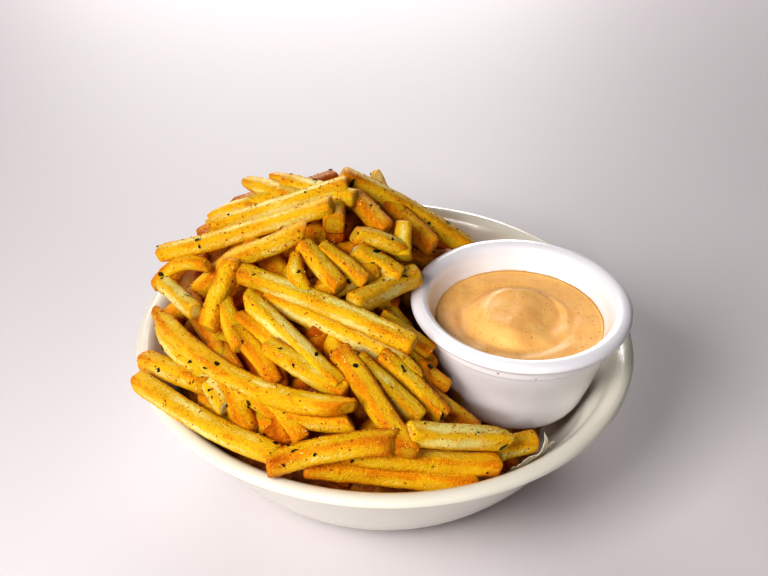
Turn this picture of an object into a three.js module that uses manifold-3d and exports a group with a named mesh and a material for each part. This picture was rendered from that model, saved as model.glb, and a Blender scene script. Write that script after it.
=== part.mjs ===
// A portion of seasoned french fries: a heap of straight-cut fries in a thick ceramic bowl, with
// a ramekin of dip leaning in the bowl and a scrap of paper liner caught at its side.
// Millimetres, +Z up. The origin is the centre of the bowl's foot, on the table.
import * as THREE from "three";
import { mergeVertices } from "three/addons/utils/BufferGeometryUtils.js";
import Module from "manifold-3d";

const wasm = await Module();
wasm.setup();

// Driving dimensions
const BOWL = {
  rim: 95, // outer radius of the rolled rim
  height: 53,
  foot: 50.5, // outer radius of the foot ring
  footRing: 5, // its width
  recess: 2.4, // depth of the underside inside the foot ring
  wall: 4.2,
  floor: 6.5, // height of the floor inside
  belly: 0.6, // power of the wall's curve from the foot to the rim
  shoulder: 89.2, // wall's outer radius just under the rim
  lip: 4.5, // the rolled rim's height
  facets: 40,
};
const CUP = {
  rim: 41,
  height: 43.5,
  neck: 36.6, // body radius under the collar
  foot: 21.5,
  belly: 28.5, // body radius where its rounded bottom ends
  mouth: 35, // radius of the rim's crest inside
  fill: 33.5, // height of the dip's edge
  fillRadius: 31.2,
  lipHeight: 3.6,
  collarHeight: 5.2,
  rimCentre: [50.1, -10.3, 74.8], // centre of the rim's top, where the cup lies among the fries
  lean: [1.0, 0.6], // degrees about X, towards the front, and about Y, to the right
  facets: 36,
};
const SWIRL = {
  radius: 17.5, // of the raised swirl inside its groove
  rise: 2.4,
  groove: 1.0,
  trough: 2.2,
  ridge: 1.4,
  facets: 36,
};
const MOUND = {
  centre: [-22, 24],
  left: 72, // reaches in plan from its centre to its foot
  right: 62,
  front: 112,
  back: 66,
  foot: 53,
  rise: 49,
  fall: 25, // how fast it drops past its foot
};
const CORE = {
  depth: 12, // it lies this far under the mound's surface
  radius: 79, // of its upper edge
  facets: 24,
};
const FILL = {
  seed: 7,
  tries: 60,
  spread: 0.96, // share of the mound's reach that they cover
  lengths: [48, 82],
  widths: [6.0, 7.2],
  depths: [2, 6], // of their ends under the mound's surface
  sink: 3, // how much deeper they lie on the front half
  cuts: 5, // times that one in the way is shortened
  shorten: 0.8,
  shortest: 22,
};
const PAPER = {
  angles: [-57, -42], // degrees round the bowl's axis
  length: 20,
  foot: 38, // height of its lower edge
  rise: 6,
  clear: 1.6, // of the bowl's wall
  thickness: 0.8,
  crease: 0.5,
  fold: 0.6, // how far its upper edge leans in
  torn: { at: 0.75, reach: 0.13, rise: 7, fold: 3 }, // the pointed tear in that edge
};
const GAP = 0.3; // free space between pieces that touch

const COLOURS = {
  glaze: 0xe9e6da,
  cup: 0xf4f1f2,
  fry: 0xe2a92c,
  dip: 0xe8a663,
  paper: 0xe4dfd3,
};

// Fries that lie on top, each from one end to the other. width is the side of its square
// section, and bow says how far its middle stands off the straight line.
const TOP_FRIES = [
  // along the front rim
  { from: [-26, -82, 57], to: [31, -77, 45], width: 6.8, bow: [0, 1, -1] },
  { from: [-14, -80, 61], to: [39, -72, 49], width: 6.4, bow: [0, 0, -1] },
  { from: [-38, -84, 58], to: [4, -80, 66], width: 6.6, bow: [0, -1, 3] },
  { from: [8, -77, 67], to: [41, -65, 54], width: 6.4 },
  { from: [30, -64, 45], to: [53.5, -55.5, 45.5], width: 6.4 },
  { from: [6, -58, 45], to: [46, -60, 39], width: 6.4 },
  // left front, hanging over the rim
  { from: [-88, -40, 57], to: [-35, -81, 60], width: 6.8, bow: [-1, -1, -1] },
  { from: [-88, -28, 57], to: [-60, -50, 63], width: 6.4 },
  { from: [-84, -20, 74], to: [-12, -73, 74], width: 6.4, bow: [-4, -5, -6] },
  { from: [-84, -13, 65], to: [-62, -47, 66], width: 5.2, bow: [-3, -1, 0] },
  { from: [-66, -42, 64], to: [-54, -60, 62], width: 5.6 },
  { from: [-64, -48, 57], to: [-33, -69, 58], width: 5.8 },
  { from: [-52, -52, 66], to: [-36, -67, 64], width: 4.8 },
  { from: [-42, -56, 68], to: [-27, -74, 60], width: 5.8 },
  { from: [-32, -66, 64], to: [-11, -71, 66], width: 6.0 },
  // long ones across the front of the heap
  { from: [-52, -22, 92], to: [10, -44, 78], width: 6.2, bow: [0, -1, 2] },
  { from: [-43, -27, 86], to: [13, -48, 68], width: 6.4, bow: [0, 0, 1] },
  { from: [-48, -32, 88], to: [-15, -62, 74], width: 5.8 },
  { from: [-40, -50, 81], to: [-13, -63, 72], width: 6.2 },
  { from: [-52, -38, 80], to: [-36, -57, 70], width: 5.6 },
  { from: [-52, -35, 82], to: [-28, -50, 74], width: 5.4 },
  { from: [-16, -50, 80], to: [8, -81, 62], width: 6.6, bow: [0, 0, 1] },
  { from: [-10, -52, 78], to: [12, -64, 62], width: 6.2 },
  { from: [-2, -46, 75], to: [21, -58, 58], width: 6.2 },
  { from: [12, -48, 62], to: [33, -53, 47], width: 5.6 },
  { from: [-4, -34, 74], to: [11, -45, 63], width: 5.6 },
  { from: [-4, -28, 78], to: [9, -38, 70], width: 5.4 },
  { from: [-12, -32, 86], to: [12, -3, 80], width: 6.6 },
  { from: [-26, -30, 87], to: [-4, -13, 88], width: 5.8 },
  { from: [-33, -16, 97], to: [-28, -32, 88], width: 5.8, bow: [-1, 0, 1] },
  { from: [-30, -12, 98], to: [-16, -28, 90], width: 5.8 },
  { from: [-24, -12, 97], to: [-7, -22, 89], width: 5.2 },
  { from: [-12, -8, 93], to: [5, -12, 85], width: 6.2 },
  { from: [-12, -3, 96], to: [8, 1, 86], width: 5.4, bow: [0, 0, 2] },
  { from: [6, 12, 92], to: [6, -2, 86], width: 5.8 },
  // the top of the heap
  { from: [-18, 28, 103], to: [33, 33, 68], width: 7.6, bow: [0, 0, 2] },
  { from: [-2, 30, 92], to: [18, 15, 80], width: 6.4 },
  { from: [-14, 20, 100], to: [0, 6, 93], width: 6.6 },
  { from: [-19, -2, 100], to: [-21, 24, 97], width: 7.4 },
  { from: [-40, 30, 99], to: [-12, 13, 102], width: 6.0 },
  { from: [-66, 15, 87], to: [-15, 18, 105], width: 6.0 },
  { from: [-70, 33, 81], to: [-42, 26, 95], width: 5.8 },
  { from: [-57, 41, 93], to: [-30, 16, 99], width: 5.6 },
  { from: [-46, 42, 95], to: [-24, 20, 100], width: 4.8 },
  { from: [-86, 9, 79], to: [-20, 2, 106], width: 5.8, bow: [0, 0, -1] },
  { from: [-57, -17, 92], to: [-29, -11, 103], width: 6.0 },
  { from: [-54, -19, 95], to: [-62, -38, 79], width: 6.2 },
  { from: [-59, -27, 86], to: [-49, -45, 76], width: 6.0 },
  { from: [-88, 7, 66], to: [-66, -1, 81], width: 4.8, bow: [-2, 2, 3] },
  { from: [-85, 4, 69], to: [-68, -24, 76], width: 5.6 },
  { from: [-5, 52, 92], to: [-2, 34, 86], width: 6.2 },
];

// Numbers from 0 to 1, the same ones each time.
function seededDraws(seed) {
  let state = seed;
  return () => {
    state = (state * 1664525 + 1013904223) % 4294967296;
    return state / 4294967296;
  };
}

function between([low, high], share) {
  return low + (high - low) * share;
}

// Height of the heap's even surface over a point of the table.
function moundHeight(x, y) {
  const right = x - MOUND.centre[0];
  const back = y - MOUND.centre[1];
  const across = right / (right > 0 ? MOUND.right : MOUND.left);
  const along = back / (back > 0 ? MOUND.back : MOUND.front);
  const spread = across * across + along * along;
  return MOUND.foot + (1 - spread) * (spread < 1 ? MOUND.rise : MOUND.fall);
}

// Outer radius of the bowl's wall at a height.
function bowlRadius(z) {
  const share = THREE.MathUtils.clamp(z / (BOWL.height - BOWL.lip), 0, 1);
  return BOWL.foot + (BOWL.shoulder - BOWL.foot) * share ** BOWL.belly;
}

function bowlInnerRadius(z) {
  return bowlRadius(z) - BOWL.wall;
}

// A closed profile of [radius, height] pairs turned about Z.
function turned(profile, facets) {
  const points = profile.map(([r, z]) => new THREE.Vector2(r, z));
  return new THREE.LatheGeometry(points, facets).rotateX(Math.PI / 2);
}

function bowlGeometry() {
  const { rim, height, foot, footRing, recess, floor, shoulder, lip } = BOWL;
  const outer = [4, 10, 18, 27, 37].map((z) => [bowlRadius(z), z]);
  const inner = [42, 34, 26, 18, 12, 9].map((z) => [bowlInnerRadius(z), z]);
  return turned(
    [
      [0, recess],
      [foot - footRing - 2, recess],
      [foot - footRing, 0],
      [foot, 0],
      ...outer,
      [shoulder, height - lip],
      [rim - 1.6, height - lip + 0.4],
      [rim, height - 2.6],
      [rim - 0.3, height - 1.2],
      [rim - 1.8, height],
      [rim - 4.2, height],
      [rim - 6.2, height - 1.4],
      [rim - 8.6, height - lip],
      ...inner,
      [bowlInnerRadius(floor) - 8, floor],
      [0, floor],
    ],
    BOWL.facets,
  );
}

// The cup's own frame has its foot at z = 0; the group below leans it into place.
function cupInnerRadius(z) {
  const { fill, fillRadius, mouth, height } = CUP;
  return fillRadius + (mouth - 1 - fillRadius) * ((z - fill) / (height - 2.5 - fill));
}

function cupOuterProfile() {
  const { rim, height, neck, foot, belly, lipHeight, collarHeight } = CUP;
  const lip = height - lipHeight;
  const collar = lip - collarHeight;
  return [
    [foot, 0],
    [foot + 3, 1.5],
    [foot + 5, 4.5],
    [belly, 10],
    [neck, collar],
    [neck + 0.7, collar + 0.3],
    [neck + 1.8, lip],
    [rim - 0.8, lip + 0.2],
    [rim, lip + 1.6],
    [rim - 0.5, height - 0.9],
    [rim - 2.2, height],
  ];
}

function cupGeometry() {
  const { height, foot, mouth, fill } = CUP;
  return turned(
    [
      [0, 1.2],
      [foot - 3.5, 1.2],
      [foot - 2.5, 0],
      ...cupOuterProfile(),
      [mouth + 1.4, height],
      [mouth, height - 0.8],
      [cupInnerRadius(height - 2.5), height - 2.5],
      [cupInnerRadius(fill), fill],
      ...cupFloor(0),
    ],
    CUP.facets,
  );
}

// The hollow under the dip, from its wall to the axis, moved inwards by a gap.
function cupFloor(gap) {
  const floor = [
    [26, 14],
    [23.6, 8.5],
    [18, 5.6],
  ];
  return [...floor.map(([r, z]) => [r - gap, z + gap]), [0, 5 + gap]];
}

// Height of the dip's swirl over its edge, for a point of its own surface. A spoon has drawn the
// middle into a mound that falls away into a trough on the right, with a thin ridge beyond it.
function swirlHeight(x, y) {
  const { radius, rise, groove, trough, ridge } = SWIRL;
  const r = Math.hypot(x, y);
  const angle = Math.atan2(y, x);
  const ring = (at, width) => Math.exp(-(((r - at) / width) ** 2));
  const facing = (at, width) => {
    const off = Math.atan2(Math.sin(angle - at), Math.cos(angle - at));
    return Math.exp(-((off / width) ** 2));
  };
  const dome = rise * Math.max(0, 1 - (r / (radius + 1)) ** 2) ** 0.8;
  const low = facing(-0.1, 0.75) + 0.6 * facing(0.9, 0.6);
  return (
    dome -
    groove * ring(radius + 1, 2.2) * (1 - 0.6 * facing(0.7, 0.8)) -
    trough * ring(radius * 0.68, 4.6) * low +
    ridge * ring(radius + 0.5, 1.8) * facing(0.75, 0.75)
  );
}

function dipGeometry() {
  const { fill } = CUP;
  const edge = cupInnerRadius(fill) - GAP;
  const under = [...cupFloor(GAP).reverse(), [edge - 0.4, fill - 0.4]];
  const rings = [edge - 0.8, 27, 22.5, 19.5, 17.5, 15.5, 12.5, 9, 5, 0];
  const profile = [...under, ...rings.map((r) => [r, fill])];
  const geometry = turned(profile, SWIRL.facets);
  const place = geometry.attributes.position;
  for (let i = 0; i < place.count; i += 1) {
    if (i % profile.length >= under.length) {
      place.setZ(i, fill + swirlHeight(place.getX(i), place.getY(i)));
    }
  }
  return geometry;
}

// One fry: a square bar laid from end to end, bent through its middle where it has a bow.
function fryGeometry({ from, to, width, bow = [0, 0, 0] }) {
  const start = new THREE.Vector3(...from);
  const end = new THREE.Vector3(...to);
  const along = end.clone().sub(start);
  const length = along.length();
  along.normalize();
  const side = new THREE.Vector3(0, 0, 1).cross(along).normalize();
  const up = along.clone().cross(side);
  const steps = bow.some((part) => part !== 0) ? 3 : 1;
  const geometry = new THREE.BoxGeometry(length, width, width, steps, 1, 1);
  const place = geometry.attributes.position;
  const middle = start.clone().add(end).multiplyScalar(0.5);
  geometry.applyMatrix4(new THREE.Matrix4().makeBasis(along, side, up).setPosition(middle));
  for (let i = 0; i < place.count; i += 1) {
    const point = new THREE.Vector3().fromBufferAttribute(place, i);
    const share = point.clone().sub(middle).dot(along) / length;
    point.addScaledVector(new THREE.Vector3(...bow), 1 - 4 * share * share);
    place.setXYZ(i, point.x, point.y, point.z);
  }
  return geometry;
}

const CUP_MATRIX = new THREE.Matrix4();
{
  const lean = CUP.lean.map(THREE.MathUtils.degToRad);
  CUP_MATRIX.makeRotationFromEuler(new THREE.Euler(lean[0], lean[1], 0));
  const drop = new THREE.Vector3(0, 0, -CUP.height).applyMatrix4(CUP_MATRIX);
  CUP_MATRIX.setPosition(new THREE.Vector3(...CUP.rimCentre).add(drop));
}
const INTO_CUP = CUP_MATRIX.clone().invert();

// Whether a fry's thickness round a point of its centre line clears the bowl, the cup and the
// space just over the cup.
function clears(point, reach) {
  const r = Math.hypot(point.x, point.y);
  const low = point.z - reach;
  if (low < BOWL.height && r + reach > bowlInnerRadius(low) - GAP) return false;
  const { foot, neck, rim, height, lipHeight, collarHeight } = CUP;
  const local = point.clone().applyMatrix4(INTO_CUP);
  const share = THREE.MathUtils.clamp(local.z / (height - lipHeight - collarHeight), 0, 1);
  const body = local.z > height - lipHeight - reach ? rim : foot + 5 + (neck - foot - 5) * share;
  const inside = Math.hypot(local.x, local.y) < body + reach + GAP;
  return !(inside && local.z > -reach - GAP && local.z < height + 2 * reach);
}

// Fries that fill out the heap under and behind the ones on top, by a rule: places spread evenly
// over the mound, with drawn headings, lengths and depths. One that doesn't clear the dishes is
// shortened towards its middle, and left out if that isn't enough.
function fillingFries() {
  const draw = seededDraws(FILL.seed);
  const made = [];
  for (let i = 0; i < FILL.tries; i += 1) {
    const turn = i * Math.PI * (3 - Math.sqrt(5));
    const out = Math.sqrt((i + 0.5) / FILL.tries) * FILL.spread;
    const across = out * Math.cos(turn);
    const along = out * Math.sin(turn);
    const x = MOUND.centre[0] + across * (across > 0 ? MOUND.right : MOUND.left);
    const y = MOUND.centre[1] + along * (along > 0 ? MOUND.back : MOUND.front);
    const heading = Math.PI * draw();
    const width = between(FILL.widths, draw());
    const depth = between(FILL.depths, draw()) + (along < 0 ? FILL.sink : 0);
    let half = between(FILL.lengths, draw()) / 2;
    for (let cut = 0; cut < FILL.cuts; cut += 1) {
      const ends = [-half, half].map((reach) => {
        const px = x + reach * Math.cos(heading);
        const py = y + reach * Math.sin(heading);
        return [px, py, moundHeight(px, py) - depth];
      });
      const [from, to] = ends.map((end) => new THREE.Vector3(...end));
      const stations = [0, 0.25, 0.5, 0.75, 1].map((share) => from.clone().lerp(to, share));
      if (stations.every((station) => clears(station, width * 0.6))) {
        made.push({ from: ends[0], to: ends[1], width });
        break;
      }
      half *= FILL.shorten;
    }
  }
  const run = ({ from, to }) => Math.hypot(to[0] - from[0], to[1] - from[1]);
  return made.filter((fry) => run(fry) > FILL.shortest);
}

// The heap's core: the bowl's hollow filled up to a dome under the mound's surface.
function coreGeometry() {
  const wall = [12, 20, 30, 40].map((z) => [bowlInnerRadius(z) - 3 * GAP, z]);
  const floor = [
    [0, BOWL.floor + GAP],
    [bowlInnerRadius(BOWL.floor) - 12, BOWL.floor + GAP],
  ];
  const dome = [1, 0.8, 0.6, 0.4, 0.2, 0].map((share) => [share * CORE.radius, BOWL.height]);
  const profile = [...floor, ...wall, ...dome];
  const geometry = turned(profile, CORE.facets);
  const place = geometry.attributes.position;
  for (let i = 0; i < place.count; i += 1) {
    const top = Math.max(moundHeight(place.getX(i), place.getY(i)) - CORE.depth, BOWL.floor + 2);
    const row = i % profile.length;
    if (row >= floor.length + wall.length) {
      place.setZ(i, top);
    } else if (row >= floor.length) {
      place.setZ(i, Math.min(place.getZ(i), top - GAP));
    }
  }
  return geometry;
}

// The scrap of liner: a crumpled strip lying on the bowl's wall, its upper edge folded in and
// torn to a point. A margin makes it larger all round.
function paperGeometry(margin = 0) {
  const sheet = new THREE.BoxGeometry(1, 1, 1, 12, 4, 1);
  const place = sheet.attributes.position;
  for (let i = 0; i < place.count; i += 1) {
    const run = place.getX(i) * (1 + (2 * margin) / PAPER.length) + 0.5;
    const rise = place.getY(i) * (1 + (2 * margin) / PAPER.rise) + 0.5;
    const angle = THREE.MathUtils.degToRad(between(PAPER.angles, run));
    const { at, reach, rise: tip, fold } = PAPER.torn;
    const torn = rise * Math.max(0, 1 - Math.abs(run - at) / reach);
    const z = PAPER.foot + PAPER.rise * rise + tip * torn;
    const crease = PAPER.crease * Math.sin(run * 13) * Math.sin(rise * 4 + 1);
    const lean = PAPER.fold * rise * rise + fold * torn * rise;
    const middle = bowlInnerRadius(z) - PAPER.clear - crease - lean;
    const r = middle + place.getZ(i) * (PAPER.thickness + 2 * margin);
    place.setXYZ(i, r * Math.cos(angle), r * Math.sin(angle), z);
  }
  return sheet;
}

// manifold-3d solids and back
function solidOf(geometry) {
  const bare = geometry.clone();
  bare.deleteAttribute("normal");
  bare.deleteAttribute("uv");
  const merged = mergeVertices(bare, 1e-3);
  return new wasm.Manifold(
    new wasm.Mesh({
      numProp: 3,
      vertProperties: merged.attributes.position.array,
      triVerts: new Uint32Array(merged.index.array),
    }),
  );
}

function geometryOf(solid) {
  const mesh = solid.getMesh();
  const geometry = new THREE.BufferGeometry();
  geometry.setAttribute("position", new THREE.BufferAttribute(mesh.vertProperties, 3));
  geometry.setIndex(new THREE.BufferAttribute(mesh.triVerts, 1));
  geometry.computeVertexNormals();
  return geometry;
}

// What the heap stays out of: the bowl, the cup and the paper with the gap round them.
function keepOut() {
  const side = cupOuterProfile().map(([r, z]) => [r + GAP, z === 0 ? -GAP : z]);
  const roof = CUP.height + 2 * GAP;
  const cup = turned([[0, -GAP], ...side, [CUP.rim - 2, roof], [0, roof]], CUP.facets);
  const room = solidOf(cup.applyMatrix4(CUP_MATRIX));
  const wide = 1 + GAP / BOWL.foot;
  const shell = bowlGeometry().scale(wide, wide, 1);
  const inner = bowlGeometry().scale(2 - wide, 2 - wide, 1).translate(0, 0, GAP);
  const paper = solidOf(paperGeometry(GAP));
  return room.add(solidOf(shell)).add(solidOf(inner)).add(paper);
}

// The core and all its fries in one solid, cut clear of the dishes, without its loose scraps.
function heapGeometry() {
  const fries = [...TOP_FRIES, ...fillingFries()].map((fry) => solidOf(fryGeometry(fry)));
  const whole = fries.reduce((sum, fry) => sum.add(fry), solidOf(coreGeometry()));
  const pieces = whole.subtract(keepOut()).decompose();
  const [largest] = pieces.sort((a, b) => b.volume() - a.volume());
  return geometryOf(largest);
}

function mesh(name, geometry, color, roughness) {
  const material = new THREE.MeshStandardMaterial({ color, roughness, metalness: 0 });
  const made = new THREE.Mesh(geometry, material);
  made.name = name;
  return made;
}

const leaningCup = new THREE.Group();
leaningCup.applyMatrix4(CUP_MATRIX);
leaningCup.add(mesh("ramekin", cupGeometry(), COLOURS.cup, 0.2));
leaningCup.add(mesh("dip", dipGeometry(), COLOURS.dip, 0.45));

const portion = new THREE.Group();
portion.add(mesh("bowl", bowlGeometry(), COLOURS.glaze, 0.25));
portion.add(leaningCup);
portion.add(mesh("fries_heap", heapGeometry(), COLOURS.fry, 0.7));
portion.add(mesh("paper_liner", paperGeometry(), COLOURS.paper, 0.8));

export default portion;
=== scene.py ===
"""Makes a bowl of seasoned fries with a ramekin of dip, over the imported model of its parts.

Sizes inside the functions are millimetres, and MM turns them into Blender's metres.
"""

import math
from collections import namedtuple
from functools import partial

import bmesh
import bpy
import numpy as np
from bpy.props import FloatProperty, FloatVectorProperty, IntProperty, PointerProperty
from mathutils import Matrix, Vector, noise


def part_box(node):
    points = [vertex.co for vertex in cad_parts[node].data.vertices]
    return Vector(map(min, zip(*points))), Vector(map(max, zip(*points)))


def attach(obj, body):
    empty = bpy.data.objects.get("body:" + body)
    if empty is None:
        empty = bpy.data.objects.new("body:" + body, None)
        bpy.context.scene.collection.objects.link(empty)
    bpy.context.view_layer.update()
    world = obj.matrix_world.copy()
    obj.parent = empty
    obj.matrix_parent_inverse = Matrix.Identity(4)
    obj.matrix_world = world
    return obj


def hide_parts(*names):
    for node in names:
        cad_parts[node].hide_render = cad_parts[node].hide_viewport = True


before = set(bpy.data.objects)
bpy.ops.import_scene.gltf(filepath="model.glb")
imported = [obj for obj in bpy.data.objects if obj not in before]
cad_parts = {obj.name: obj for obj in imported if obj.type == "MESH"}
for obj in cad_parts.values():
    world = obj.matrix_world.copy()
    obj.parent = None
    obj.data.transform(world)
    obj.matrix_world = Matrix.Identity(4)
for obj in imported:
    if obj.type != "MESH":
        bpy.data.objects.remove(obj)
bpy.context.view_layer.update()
BOWL_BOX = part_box("bowl")

bl_info = {
    "name": "Bowl of Fries",
    "version": (1, 0, 0),
    "blender": (4, 5, 0),
    "location": "3D View > Sidebar > Fries",
    "description": "Makes a bowl of seasoned fries with a ramekin of dip",
    "category": "Add Mesh",
}

MM = 0.001
BODY = "root"
# Room left between pieces
GAP = 0.3

# The bowl, as in the solid model
BOWL_HEIGHT = BOWL_BOX[1][2] / MM
BOWL = {
    "foot": 50.5,
    "foot_ring": 5,
    "recess": 2.4,
    "wall": 4.2,
    "floor": 6.5,
    "belly": 0.6,
    "shoulder": 89.2,
    "lip": 4.5,
}
# The ramekin, with its foot at its own z = 0, and the lean that puts it among the fries
CUP = {
    "rim": 41,
    "height": 43.5,
    "neck": 36.6,
    "foot": 21.5,
    "heel": 26.5,
    "belly": 28.5,
    "mouth": 35,
    "mouth_depth": 2.5,
    "fill": 33.5,
    "fill_radius": 31.2,
    "inside": ((26, 14), (23.6, 8.5), (18, 5.6)),
    "floor": 5,
    "lip": 3.6,
    "collar": 5.2,
    "rim_centre": (50.1, -10.3, 74.8),
    "lean": (1.0, 0.6),
}
# Dark specks on the ramekin's collar
SPECKS = ((39.3, -46.5, 67.9), (52.5, -47.9, 66.6))
# The heap's even surface, on which the fries under the top ones are spread
MOUND = {
    "centre": (-22, 24),
    "left": 72,
    "right": 62,
    "front": 112,
    "back": 66,
    "foot": 53,
    "rise": 49,
    "fall": 25,
}

# Shapes that a fry's end can have: how far each slants, to what share it narrows and over what
# length, how rough it is and how much of the inside it shows
SQUARE, SLANT, POINT, BROKEN = range(4)
END_SHAPES = {
    SQUARE: {"slant": 0.12, "taper": 0.97, "reach": 5.0, "rough": 0.25, "cut": 0.0},
    SLANT: {"slant": 0.75, "taper": 0.92, "reach": 5.0, "rough": 0.25, "cut": 0.0},
    POINT: {"slant": 0.5, "taper": 0.45, "reach": 14.0, "rough": 0.25, "cut": 0.0},
    BROKEN: {"slant": 0.35, "taper": 0.9, "reach": 5.0, "rough": 0.9, "cut": 1.0},
}
STRAIGHT = (0, 0, 0)
BOTH_SQUARE = (SQUARE, SQUARE)

# A fry: one end, the other end, side of the section, browning from 0 to 1, raised as painted
# shade for fries that lie in shade, the shapes of both ends, and how far the middle stands off
# the straight line
Fry = namedtuple("Fry", "start end width tone ends bow", defaults=(BOTH_SQUARE, STRAIGHT))

TOP_FRIES = (
    # along the front rim; the first three and the sixth have their tones raised, part browning
    # and part painted shade on faces turned from the light
    Fry((-26, -82, 57), (31, -77, 45), 6.8, 0.65, BOTH_SQUARE, (0, 1, -1)),
    Fry((-14, -80, 61), (39, -72, 49), 6.4, 0.6, BOTH_SQUARE, (0, 0, -1)),
    Fry((-38, -84, 58), (4, -80, 66), 6.6, 0.6, (SQUARE, SLANT), (0, -1, 3)),
    Fry((8, -77, 67), (41, -65, 54), 6.4, 0.12, (SQUARE, SLANT)),
    Fry((30, -64, 45), (53.5, -55.5, 45.5), 6.4, 0.3),
    Fry((6, -58, 45), (46, -60, 39), 6.4, 0.9),
    # left front, hanging over the rim
    Fry((-88, -40, 57), (-35, -81, 60), 6.8, 0.35, (SQUARE, SLANT), (-1, -1, -1)),
    Fry((-88, -28, 57), (-60, -50, 63), 6.4, 0.45),
    Fry((-84, -20, 74), (-12, -73, 74), 6.4, 0.55, (POINT, SLANT), (-4, -5, -6)),
    Fry((-84, -13, 65), (-62, -47, 66), 5.2, 0.1, (POINT, POINT), (-3, -1, 0)),
    Fry((-66, -42, 64), (-54, -60, 62), 5.6, 0.05, (SQUARE, BROKEN)),
    Fry((-64, -48, 57), (-33, -69, 58), 5.8, 0.6),
    Fry((-52, -52, 66), (-36, -67, 64), 4.8, 0.5, (SQUARE, POINT)),
    Fry((-42, -56, 68), (-27, -74, 60), 5.8, 0.5),
    Fry((-32, -66, 64), (-11, -71, 66), 6.0, 0.4, (SQUARE, SLANT)),
    # long ones across the front of the heap
    Fry((-52, -22, 92), (10, -44, 78), 6.2, 0.35, BOTH_SQUARE, (0, -1, 2)),
    Fry((-43, -27, 86), (13, -48, 68), 6.4, 0.3, (SQUARE, POINT), (0, 0, 1)),
    Fry((-48, -32, 88), (-15, -62, 74), 5.8, 0.2, (SLANT, SQUARE)),
    Fry((-40, -50, 81), (-13, -63, 72), 6.2, 0.35, (BROKEN, SQUARE)),
    Fry((-52, -38, 80), (-36, -57, 70), 5.6, 0.75),
    Fry((-52, -35, 82), (-28, -50, 74), 5.4, 0.55),
    Fry((-16, -50, 80), (8, -81, 62), 6.6, 0.7, (SQUARE, SLANT), (0, 0, 1)),
    Fry((-10, -52, 78), (12, -64, 62), 6.2, 0.3),
    Fry((-2, -46, 75), (21, -58, 58), 6.2, 0.5),
    Fry((12, -48, 62), (33, -53, 47), 5.6, 0.65),
    Fry((0, -35, 73), (22, -42, 57), 5.6, 0.55),
    Fry((-2, -28, 78), (16.5, -34, 67), 5.4, 0.4),
    Fry((-12, -32, 86), (12, -3, 80), 6.6, 0.25, (SQUARE, SLANT)),
    Fry((-26, -30, 87), (-4, -13, 88), 5.8, 0.3),
    Fry((-33, -16, 97), (-28, -32, 88), 5.8, 0.35, (POINT, SQUARE), (-1, 0, 1)),
    Fry((-30, -12, 98), (-16, -28, 90), 5.8, 0.4),
    Fry((-24, -12, 97), (-7, -22, 89), 5.2, 0.35),
    Fry((-12, -8, 93), (5, -12, 85), 6.2, 0.3, (BROKEN, SQUARE)),
    Fry((-12, -3, 96), (8, 1, 86), 5.4, 0.3, BOTH_SQUARE, (0, 0, 2)),
    Fry((6, 12, 92), (6, -2, 86), 5.8, 0.2),
    # the top of the heap
    Fry((-18, 28, 103), (33, 33, 68), 7.6, 0.5, BOTH_SQUARE, (0, 0, 2)),
    Fry((-2, 30, 92), (18, 15, 80), 6.4, 0.75),
    Fry((-14, 20, 100), (0, 6, 93), 6.6, 0.65),
    Fry((-19, -2, 100), (-21, 24, 97), 7.4, 0.5),
    Fry((-40, 30, 99), (-12, 13, 102), 6.0, 0.2),
    Fry((-66, 15, 87), (-15, 18, 105), 6.0, 0.25, (SLANT, SQUARE)),
    Fry((-70, 33, 81), (-42, 26, 95), 5.8, 0.25, (POINT, SQUARE)),
    Fry((-57, 41, 93), (-30, 16, 99), 5.6, 0.4, (POINT, SQUARE)),
    Fry((-46, 42, 95), (-24, 20, 100), 4.8, 0.4, (POINT, SQUARE)),
    Fry((-86, 9, 79), (-20, 2, 106), 5.8, 0.35, BOTH_SQUARE, (0, 0, -1)),
    Fry((-57, -17, 92), (-29, -11, 103), 6.0, 0.45, (SQUARE, SLANT)),
    Fry((-54, -19, 95), (-62, -38, 79), 6.2, 0.4),
    Fry((-59, -27, 86), (-49, -45, 76), 6.0, 0.5),
    Fry((-88, 7, 66), (-66, -1, 81), 4.8, 0.45, BOTH_SQUARE, (-2, 2, 3)),
    Fry((-85, 4, 69), (-68, -24, 76), 5.6, 0.1),
    Fry((-5, 52, 92), (-2, 34, 86), 6.2, 0.3, (POINT, SQUARE)),
)
# How finely the top fries are made: points round a section, and millimetres from one to the next
TOP_DETAIL = {"sides": 24, "spacing": 1.1, "seed": 11}
# Distances of the close sections from a fry's end, and of the first that are evenly spaced
END_SECTIONS = (0, 0.3, 0.8)
EVEN_FROM = 1.5

# How much one fry differs from the next: turn and twist in degrees, sway in millimetres, how
# flat and how square its section is, and how far apart two fries' patterns lie
VARIETY = {
    "roll": (-9, 9),
    "twist": (-14, 14),
    "sway": (-0.5, 0.5),
    "flat": (0.92, 1.06),
    "square": (3.6, 5.2),
    "shift": 400,
}
# A fry's surface: the lengths over which slant and crust fade from an end, how much and over
# what length its edge is rounded, waves to a millimetre and height of each swell, and height
# of the chips
SKIN = {
    "slant_fade": 5.0,
    "crust_fade": 6.0,
    "bevel": 0.16,
    "bevel_reach": 1.2,
    "swells": ((0.14, 0.24), (0.42, 0.1)),
    "chips": 0.14,
}

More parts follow.
